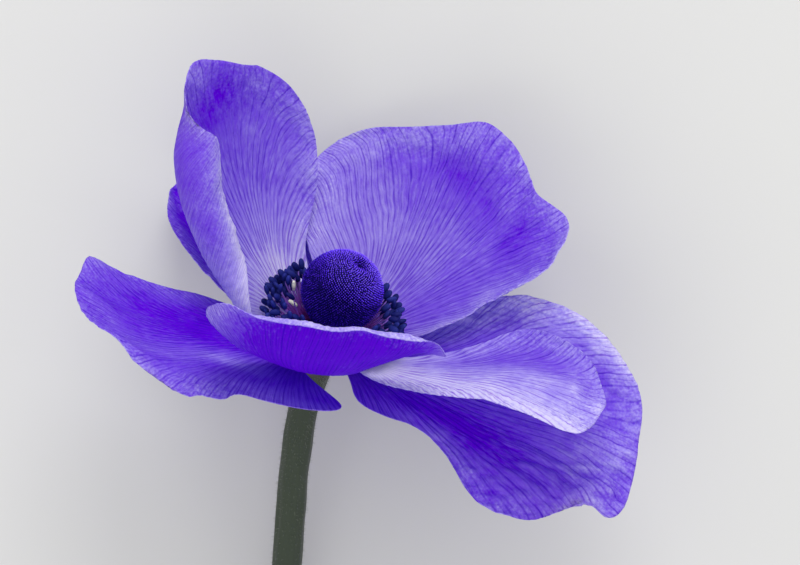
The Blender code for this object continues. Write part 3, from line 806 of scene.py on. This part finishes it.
def vein_lines(tree, place, along, gauge, parts, start, end, breadth):
    """Return veins that fork from the coarser ones, each at its own place along the petal."""
    scaled = times(tree, place, parts)
    fraction = math_node(tree, "FRACT", scaled)
    number = math_node(tree, "MULTIPLY_ADD", parts, 17.3, math_node(tree, "FLOOR", scaled))
    own = add_node(tree, "TexWhiteNoise", {"W": number}, noise_dimensions="1D").outputs["Value"]
    mirrored = math_node(tree, "GREATER_THAN", own, 0.5)
    flipped = math_node(tree, "SUBTRACT", 1.0, fraction)
    side = add_node(tree, "Mix", {0: mirrored, 2: fraction, 3: flipped}).outputs[0]
    own_along = math_node(tree, "MULTIPLY_ADD", own, FORK_SPREAD, along)
    middle = 0.5 * FORK_SPREAD
    fork = ranged(tree, own_along, start + middle, end + middle, 0.0, 0.5)
    offset = math_node(tree, "ABSOLUTE", math_node(tree, "SUBTRACT", side, fork))
    line = ranged(tree, offset, 0.0, times(tree, gauge, breadth * parts), 1.0, 0.0)
    open_enough = ranged(tree, times(tree, gauge, parts), 1.2, 2.1, 1.0, 0.0)
    shown = ranged(tree, own_along, start + 0.07, start + FORK_SPREAD)
    strength = math_node(tree, "FRACT", times(tree, own, 7.3))
    strength = math_node(tree, "MULTIPLY_ADD", strength, 0.6, 0.4)
    return times(tree, strength, open_enough, shown, line)


def petal_material():
    """Make the petals' satin: pale to deep violet tissue, its paleness partly painted light and shade, with
    darker forking veins.
    """
    material, tree, shader = new_material("petal_satin", 0.55, 0.03)
    uv = add_node(tree, "UVMap", {}, uv_map="veins").outputs["UV"]
    split = add_node(tree, "SeparateXYZ", {0: uv})
    place, along = split.outputs["X"], split.outputs["Y"]
    position = add_node(tree, "TexCoord", {}).outputs["Object"]
    gauge = attribute(tree, "gauge")

    main = math_node(tree, "PINGPONG", place, 0.5)
    main = ranged(tree, main, 0.0, times(tree, gauge, 0.22), 1.0, 0.0)
    veins = times(tree, main, ranged(tree, gauge, 1.2, 2.4, 0.85, 0.25))
    for *fork, strength in FORKS:
        finer = vein_lines(tree, place, along, gauge, *fork)
        veins = math_node(tree, "MAXIMUM", veins, times(tree, finer, strength))
    broken = ranged(tree, noise(tree, position, 420.0, 2.0, 0.6), 0.3, 0.6, 0.4, 1.0)
    veins = times(tree, broken, attribute(tree, "veined"), veins)

    # Fibre-like streaks: in the paleness they are partly the tissue's own streaks and partly a painted satin
    # sheen, in the bump they are relief
    stretched = add_node(tree, "Mapping", {"Vector": uv, "Scale": (9.0, 22.0, 1.0)}).outputs["Vector"]
    streaks = noise(tree, stretched, 1.0, 3.0, 0.6)
    shifted = varied(tree, attribute(tree, "pale"), streaks, 0.6)
    specks = math_node(tree, "SUBTRACT", noise(tree, position, 2400.0), 0.5)
    specks = times(tree, specks, attribute(tree, "mottled"))
    shifted = math_node(tree, "MULTIPLY_ADD", specks, 0.6, shifted)
    tissue = colour_ramp(tree, shifted, TISSUE)
    vein_tint = mixed(tree, veins, (1.0, 1.0, 1.0, 1.0), VEIN_TINT)
    colour = mixed(tree, 1.0, tissue, vein_tint, "MULTIPLY")
    tree.links.new(colour, shader.inputs["Base Color"])

    cells = add_node(tree, "TexVoronoi", {"Vector": position, "Scale": 1700.0}, feature="DISTANCE_TO_EDGE")
    height = math_node(tree, "MULTIPLY_ADD", veins, -0.6, times(tree, streaks, 0.3))
    height = math_node(tree, "MULTIPLY_ADD", cells.outputs["Distance"], 0.5, height)
    normal = bumped(tree, shader, height, 0.00012, 0.9)
    glow_colour = mixed(tree, 0.5, colour, GLOW_TINT)
    glow = add_node(tree, "BsdfTranslucent", {"Color": glow_colour, "Normal": normal})
    blend = add_node(tree, "MixShader", {0: GLOW_SHARE, 1: shader.outputs[0], 2: glow.outputs[0]})
    tree.links.new(blend.outputs[0], tree.nodes["Material Output"].inputs["Surface"])
    return material


def plant_material(name, stops, roughness, scale, bump, sheen=0.0, specular=0.2):
    """Make a matt plant surface whose colour runs with the value "tip", mottled a little."""
    material, tree, shader = new_material(name, roughness, specular)
    position = add_node(tree, "TexCoord", {}).outputs["Object"]
    grain = noise(tree, position, scale, 3.0, 0.6)
    shifted = varied(tree, attribute(tree, "tip"), grain, 0.35)
    tree.links.new(colour_ramp(tree, shifted, stops), shader.inputs["Base Color"])
    shader.inputs["Sheen Weight"].default_value = sheen
    bumped(tree, shader, grain, bump)
    return material


def ring_directions(side, other, sides):
    """Return evenly spaced directions around a circle."""
    angles = 2.0 * math.pi * np.arange(sides) / sides
    return np.cos(angles)[:, None] * side + np.sin(angles)[:, None] * other


def ring_faces(first, sides, rings):
    """Return the faces between rings of points, from the first point's index."""
    faces = []
    for low in range(first, first + (rings - 1) * sides, sides):
        for k in range(sides):
            n = (k + 1) % sides
            faces.append((low + k, low + n, low + sides + n, low + sides + k))
    return faces


def fan_faces(centre, first, sides):
    """Return the triangles between a centre and a ring of points."""
    return [(centre, first + k, first + (k + 1) % sides) for k in range(sides)]


def taken(shape):
    """Return a bmesh's points and faces, and free it."""
    points = np.array([vertex.co[:] for vertex in shape.verts])
    faces = [[vertex.index for vertex in face.verts] for face in shape.faces]
    shape.free()
    return points, faces


class Parts:
    """Small parts in the flower's directions that become one mesh."""

    def __init__(self):
        self.points = []
        self.faces = []
        self.tips = []
        self.count = 0

    def add(self, points, faces, tips):
        """Add a part whose faces count its own points from 0."""
        self.points.append(points)
        self.faces += [tuple(self.count + corner for corner in face) for face in faces]
        self.tips.append(tips)
        self.count += len(points)

    def mesh(self, name, material):
        """Make the mesh object where the flower lies."""
        tips = {"tip": np.concatenate(self.tips)}
        return write_mesh(name, placed(np.concatenate(self.points)), self.faces, material, tips)


def head_points(unit, raised):
    """Return points of the pistil head in unit directions, raised outwards."""
    axis_angle = np.arccos(np.clip(unit @ DIMPLE, -1.0, 1.0))
    size = HEAD_RADIUS + raised - DIMPLE_DEPTH * np.exp(-((axis_angle / DIMPLE_ANGLE) ** 2))
    neck = HEAD_NECK * np.clip((-unit[:, 2] - 0.6) / 0.4, 0.0, None) ** 3
    points = unit * size[:, None]
    points[:, 2] += HEAD_CENTRE_HEIGHT - neck
    return points


def make_pistil_head(material):
    """Build the dome and the blunt styles that cover it, spread by the golden angle."""
    ball = bmesh.new()
    bmesh.ops.create_icosphere(ball, subdivisions=5, radius=1.0)
    unit, faces = taken(ball)
    none = np.zeros(len(unit))
    parts = Parts()
    parts.add(head_points(unit, none), faces, none)

    chance = np.random.default_rng(11)
    count = np.arange(STYLES)
    levels = 1.0 - STYLE_COVER * (count + 0.5) / STYLES
    turns = math.pi * (3.0 - math.sqrt(5.0)) * count
    rings = np.sqrt(1.0 - levels ** 2)
    roots = np.stack((rings * np.cos(turns), rings * np.sin(turns), levels), axis=1)
    roots = normalised(roots + chance.normal(0.0, 0.004, roots.shape))
    faces = ring_faces(0, STYLE_SIDES, 2) + fan_faces(2 * STYLE_SIDES, STYLE_SIDES, STYLE_SIDES)
    faces.append(tuple(reversed(range(STYLE_SIDES))))
    rise = np.repeat((0.1, 0.8, 1.0), (STYLE_SIDES, STYLE_SIDES, 1))
    for root in roots:
        towards = DIMPLE - root * (DIMPLE @ root)
        distance = np.linalg.norm(DIMPLE - root)
        lean = 0.55 * math.exp(-((distance / 0.45) ** 2)) + 0.12
        aim = root + lean * towards / max(np.linalg.norm(towards), 0.05) * min(1.0, distance / 0.1)
        aim = normalised(aim + chance.normal(0.0, 0.1, 3))
        side = normalised(np.cross(aim, (0.3, 0.5, 0.8)))
        ring = ring_directions(side, np.cross(aim, side), STYLE_SIDES)
        base = head_points(root[None], np.array((-STYLE_ROOT,)))
        stalk = aim * (STYLE_LENGTH * chance.uniform(0.8, 1.15) + STYLE_ROOT)
        ring *= STYLE_RADIUS * chance.uniform(0.85, 1.1)
        # Painted light and shade: styles facing the top, around the dimple, are made paler as if lit from
        # there, those in the dimple darker as its shade, and the rest of the spread is random
        shade = 0.5 + 0.55 * float(eased(DIMPLE @ root, 0.2, 0.85)) + chance.uniform(-0.15, 0.15)
        shade -= 0.9 * math.exp(-((distance / 0.15) ** 2))
        points = np.concatenate((base + ring, base + 0.72 * (stalk + ring), base + stalk))
        parts.add(points, faces, shade * rise)
    return parts.mesh("pistil_dome", material)


def tube(centres, radii, sides):
    """Return the points and faces of a closed tube along its centres."""
    direction = normalised(np.gradient(centres, axis=0))[:, None]
    side = normalised(np.cross(direction, (0.31, 0.52, 0.8)))
    ring = ring_directions(side, np.cross(direction, side), sides)
    points = (centres[:, None] + ring * radii[:, None, None]).reshape(-1, 3)
    faces = ring_faces(0, sides, len(centres))
    faces.append(tuple(reversed(range(sides))))
    faces.append(tuple(range(len(points) - sides, len(points))))
    return points, faces


def stamen_tip(stamen):
    """Return the place of a stamen's tip, in the flower's frame."""
    azimuth, radius, height = stamen[:3]
    return np.array((radius * math.cos(azimuth), radius * math.sin(azimuth), height))


def hides_one(stamen, others):
    """Return whether a stamen stands right before one of the others, as the flower lies."""
    gaps = placed([stamen_tip(other) for other in others]) - placed(stamen_tip(stamen))
    beside = np.hypot(gaps[:, 0], gaps[:, 1]) < HIDING_WIDTH
    return np.any(beside & (gaps[:, 2] < HIDING_DEPTH))


def grown_stamens(chance):
    """Return each stamen's azimuth, its tip's radius and height, its shade and its size."""
    grown = []
    for tier, (count, tier_radius, tier_height) in enumerate(STAMEN_TIERS):
        for k in range(count):
            azimuth = 2.0 * math.pi * (k + 0.5 * (tier % 2) + chance.uniform(-0.22, 0.22)) / count
            radius = tier_radius + chance.uniform(-0.4, 0.25)
            height = tier_height + chance.uniform(-0.5, 0.5)
            facing = math.remainder(azimuth - math.radians(FRONT_AZIMUTH), 2.0 * math.pi)
            front = float(1.0 - eased(math.degrees(abs(facing)), *FRONT_REACH))
            height -= FRONT_DROP * front * (height - FRONT_BASE)
            radius -= FRONT_INSET * front
            grown.append((azimuth, radius, height, chance.uniform(0.0, 0.6), chance.uniform(0.9, 1.1)))
    sterile = [(math.radians(degrees), radius, height, 1.0, 0.85) for degrees, radius, height in PALE_STAMENS]
    return [stamen for stamen in grown if not hides_one(stamen, sterile)] + sterile


def make_stamens(filament_material, anther_material):
    """Build the filaments on their collar, and the two-lobed anthers at their ends."""
    chance = np.random.default_rng(5)
    filaments = Parts()
    anthers = Parts()

    turns = 2.0 * math.pi * np.arange(COLLAR_STEPS + 1) / COLLAR_STEPS
    collar = COLLAR_RADIUS * np.stack((np.cos(turns), np.sin(turns), 0.0 * turns), axis=1)
    points, faces = tube(collar + COLLAR_HEIGHT * UPWARD, np.full(len(turns), COLLAR_THICKNESS), COLLAR_SIDES)
    filaments.add(points, faces, np.zeros(len(points)))

    t = np.linspace(0.0, 1.0, FILAMENT_RINGS)[:, None]
    radii = FILAMENT_RADIUS * np.linspace(1.5, 0.8, FILAMENT_RINGS)
    tips = np.repeat(np.linspace(0.15, 1.0, FILAMENT_RINGS), FILAMENT_SIDES)
    for azimuth, radius, height, shade, size in grown_stamens(chance):
        outward = np.array((math.cos(azimuth), math.sin(azimuth), 0.0))
        base = COLLAR_RADIUS * outward + (COLLAR_HEIGHT + 0.35 + chance.uniform(0.0, 0.3)) * UPWARD
        tip = stamen_tip((azimuth, radius, height))
        lean = math.radians(chance.uniform(15.0, 80.0))
        pointing = math.cos(lean) * outward + math.sin(lean) * UPWARD
        pointing = normalised(pointing + chance.normal(0.0, 0.25, 3))
        middle = 0.5 * (base + tip) + 0.7 * outward - 0.6 * UPWARD
        path = (1.0 - t) ** 2 * base + 2.0 * t * (1.0 - t) * middle + t ** 2 * tip
        filaments.add(*tube(path, radii, FILAMENT_SIDES), tips)
        points, faces = anther(tip, pointing, outward, size)
        anthers.add(points, faces, np.full(len(points), shade))
    return (filaments.mesh("stamen_filaments", filament_material),
            anthers.mesh("stamen_anthers", anther_material))


def anther(place, pointing, outward, size):
    """Return one anther: two plump lobes with a groove down each broad face."""
    side = normalised(np.cross(pointing, outward))
    flat = np.cross(pointing, side)
    t = (np.arange(ANTHER_RINGS) + 0.5) / ANTHER_RINGS
    profile = np.sin(math.pi * (0.08 + 0.86 * t)) ** 0.55
    angles = 2.0 * math.pi * np.arange(ANTHER_SIDES) / ANTHER_SIDES
    groove = 1.0 - 0.34 * np.exp(-((np.cos(angles) / 0.34) ** 2))
    radius = (ANTHER_RADIUS * size * profile[:, None] * groove)[..., None]
    centres = place + pointing * ANTHER_LENGTH * (t[:, None] - 0.12)
    ring = ring_directions(1.05 * side, 0.85 * flat, ANTHER_SIDES)
    ends = place + ANTHER_LENGTH * np.outer((-0.12, 0.9), pointing)
    points = np.concatenate(((centres[:, None] + radius * ring).reshape(-1, 3), ends))
    bottom = ANTHER_RINGS * ANTHER_SIDES
    faces = [(a, d, c, b) for a, b, c, d in ring_faces(0, ANTHER_SIDES, ANTHER_RINGS)]
    faces += fan_faces(bottom, 0, ANTHER_SIDES)
    faces += [(top, n, k) for top, k, n in fan_faces(bottom + 1, bottom - ANTHER_SIDES, ANTHER_SIDES)]
    return points, faces


def make_stem(material, hair_material):
    """Build the stem's tube with faint ribs, and the down on it."""
    curve = bpy.data.curves.new("stem_curve", "CURVE")
    curve.dimensions = "3D"
    curve.bevel_depth = MM
    curve.bevel_resolution = 22
    curve.resolution_u = 20
    curve.use_fill_caps = True
    stations = [(placed((0.0, 0.0, height)), radius) for height, radius in STEM_TOP]
    stations += [(np.array(place) + RECEPTACLE_PLACE, STEM_RADIUS) for place in STEM_ROUTE]
    spline = curve.splines.new("BEZIER")
    spline.bezier_points.add(len(stations) - 1)
    for point, (place, radius) in zip(spline.bezier_points, stations):
        point.co = Vector(place) * MM
        point.radius = radius
        point.handle_left_type = point.handle_right_type = "AUTO"
    guide = bpy.data.objects.new("stem_guide", curve)
    bpy.context.scene.collection.objects.link(guide)
    depsgraph = bpy.context.evaluated_depsgraph_get()
    mesh = bpy.data.meshes.new_from_object(guide.evaluated_get(depsgraph))
    bpy.data.objects.remove(guide, do_unlink=True)
    shape = bmesh.new()
    shape.from_mesh(mesh)
    bmesh.ops.remove_doubles(shape, verts=shape.verts, dist=1e-7)
    bmesh.ops.recalc_face_normals(shape, faces=shape.faces)
    normals = np.array([vertex.normal[:] for vertex in shape.verts])
    points, faces = taken(shape)
    bpy.data.meshes.remove(mesh)

    points = points / MM
    around = np.arctan2(normals[:, 2], normals[:, 0])
    uneven = ripples(around * STEM_RADIUS, 0.2 * points[:, 1], 1.5, 31)
    relief = RIB_DEPTH * np.cos(STEM_RIBS * around) + RIB_DEPTH * uneven
    points = points + (relief - SKIN_INSET)[:, None] * normals
    below = RECEPTACLE_PLACE[1] - points[:, 1]
    tip = np.clip(1.0 - below / FLUSH_LENGTH, 0.0, 1.0)
    stem = write_mesh("stem_tube", points, faces, material, {"tip": tip})

    chance = np.random.default_rng(17)
    chosen = chance.choice(np.flatnonzero(below > BARE_LENGTH), STEM_HAIRS, replace=False)
    hairs = []
    for vertex in chosen:
        direction = normalised(normals[vertex] + chance.normal(0.0, 0.35, 3))
        side = np.cross(direction, (0.3, 0.5, 0.8))
        other = np.cross(direction, side)
        root = points[vertex] - 0.05 * normals[vertex]
        for turn in (0.0, 2.1, 4.2):
            hairs.append(root + STEM_HAIR_RADIUS * (math.cos(turn) * side + math.sin(turn) * other))
        hairs.append(root + STEM_HAIR_LENGTH * chance.uniform(0.4, 1.0) * direction)
    hairs = np.array(hairs)
    hairs[:, 1] = np.maximum(hairs[:, 1], points[:, 1].min())
    hairs[:, 2] = np.maximum(hairs[:, 2], FLOOR_GAP)
    corners = np.array(((0, 1, 3), (1, 2, 3), (2, 0, 3), (2, 1, 0)))
    faces = (4 * np.arange(STEM_HAIRS)[:, None, None] + corners).reshape(-1, 3)
    down = write_mesh("stem_down", hairs, faces, hair_material,
                      {"tip": np.tile((0.0, 0.0, 0.0, 1.0), STEM_HAIRS)})
    return stem, down


def make_cut(material):
    """Cover the stem's cut end with its pale pith and a ring of darker bundles."""
    last = np.array(STEM_ROUTE[-1])
    outward = normalised(last - np.array(STEM_ROUTE[-2]))
    centre = last + RECEPTACLE_PLACE + CUT_STEP * outward
    side = normalised(np.cross(outward, UPWARD))
    ring = CUT_RADIUS * ring_directions(side, np.cross(side, outward), CUT_SIDES)
    turns = 2.0 * math.pi * np.arange(CUT_SIDES) / CUT_SIDES
    points = [centre]
    tips = [0.0]
    for share in CUT_RINGS:
        hollow = -0.5 * CUT_STEP * math.cos(0.5 * math.pi * share) * outward
        points += list(centre + share * ring + hollow)
        nearness = math.exp(-(((share - BUNDLE_RING) / BUNDLE_WIDTH) ** 2))
        bundles = nearness * (0.5 + 0.5 * np.cos(BUNDLES * turns))
        pith = np.full(CUT_SIDES, PITH_TIP * share)
        tips += list(PITH_TIP + (1.0 - PITH_TIP) * bundles if share > 0.5 else pith)
    back = len(points)
    points += list(centre + ring - CUT_DEPTH * outward)
    tips += [1.0] * CUT_SIDES
    faces = [(middle, n, k) for middle, k, n in fan_faces(0, 1, CUT_SIDES)]
    faces += ring_faces(1, CUT_SIDES, len(CUT_RINGS) + 1)
    faces.append(tuple(range(back, back + CUT_SIDES)))
    return write_mesh("stem_cut", np.array(points), faces, material, {"tip": np.array(tips)})


def make_floor():
    """Lay the plain pale floor."""
    bpy.ops.mesh.primitive_plane_add(size=6.0, location=(0.0, 0.0, 0.0))
    floor = bpy.context.object
    floor.name = "floor"
    material, _, shader = new_material("pale_floor", 0.9)
    shader.inputs["Base Color"].default_value = FLOOR_COLOUR
    floor.data.materials.append(material)


def make_light():
    """Light the flower softly, mostly from the top of the picture, as in the photograph."""
    scene = bpy.context.scene
    world = bpy.data.worlds.new("studio")
    world.use_nodes = True
    background = world.node_tree.nodes["Background"]
    background.inputs["Color"].default_value = (1.0, 1.0, 1.0, 1.0)
    background.inputs["Strength"].default_value = WORLD_STRENGTH
    scene.world = world
    for name, direction, distance, size, power in LAMPS:
        light = bpy.data.lights.new(name, "AREA")
        light.size = size
        light.energy = power
        lamp = bpy.data.objects.new(name, light)
        towards = Vector(direction).normalized()
        lamp.location = LAMP_AIM + towards * distance
        lamp.rotation_euler = (-towards).to_track_quat("-Z", "Y").to_euler()
        scene.collection.objects.link(lamp)


def make_camera():
    """Look straight down on the flower, in the photograph's frame."""
    camera = bpy.data.objects.new("camera", bpy.data.cameras.new("camera"))
    camera.data.sensor_width = SENSOR_WIDTH
    camera.data.lens = SENSOR_WIDTH * CAMERA_HEIGHT / FRAME_WIDTH
    camera.data.clip_start = 0.1
    camera.data.clip_end = 20.0
    camera.location = Vector((*FRAME_MIDDLE, RECEPTACLE_PLACE[2] + CAMERA_HEIGHT)) * MM
    bpy.context.scene.collection.objects.link(camera)
    bpy.context.scene.camera = camera


def add_piece(thing, node):
    """Put a piece on the flower's body, so it rides on the flower, and hide the part's node that it stands
    for.
    """
    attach(thing, BODY)
    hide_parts(node)


def make_flower():
    """Build every piece of the flower."""
    satin = petal_material()
    for number, (name, petal) in enumerate(PETALS.items()):
        thing = make_petal(name + "_fine", petal, 100 * (number + 1), satin)
        add_piece(thing, name)
    dome = plant_material("pistil_dome", (
        (0.0, (0.002, 0.0, 0.05)),
        (0.35, (0.009, 0.0, 0.22)),
        (0.7, (0.12, 0.03, 0.95)),
        (1.0, (0.28, 0.15, 1.0)),
    ), roughness=0.6, scale=900.0, bump=0.00002, sheen=0.03, specular=0.05)
    add_piece(make_pistil_head(dome), "pistil_head")
    filament = plant_material("stamen_filament", (
        (0.0, (0.16, 0.008, 0.14)),
        (0.35, (0.32, 0.04, 0.50)),
        (1.0, (0.30, 0.16, 0.70)),
    ), roughness=0.45, scale=1500.0, bump=0.00002)
    anthers = plant_material("stamen_anther", (
        (0.0, (0.004, 0.006, 0.10)),
        (0.6, (0.018, 0.026, 0.22)),
        (0.85, (0.045, 0.06, 0.30)),
        (1.0, (0.88, 0.87, 0.70)),
    ), roughness=0.55, scale=2200.0, bump=0.00003, specular=0.1)
    for piece in make_stamens(filament, anthers):
        add_piece(piece, "stamens")
    green = plant_material("stem_skin", (
        (0.0, (0.040, 0.052, 0.036)),
        (0.5, (0.045, 0.055, 0.04)),
        (1.0, (0.12, 0.04, 0.14)),
    ), roughness=0.6, scale=700.0, bump=0.00006, sheen=0.12, specular=0.1)
    down = plant_material("stem_hair", (
        (0.0, (0.12, 0.14, 0.10)),
        (1.0, (0.40, 0.43, 0.36)),
    ), roughness=0.5, scale=900.0, bump=0.00001)
    pith = plant_material("stem_pith", (
        (0.0, (0.50, 0.55, 0.36)),
        (0.35, (0.30, 0.37, 0.20)),
        (1.0, (0.09, 0.13, 0.06)),
    ), roughness=0.5, scale=3000.0, bump=0.00003)
    for piece in (*make_stem(green, down), make_cut(pith)):
        add_piece(piece, "stem")


make_floor()
make_light()
make_camera()
make_flower()
bpy.context.scene.view_settings.view_transform = "Standard"
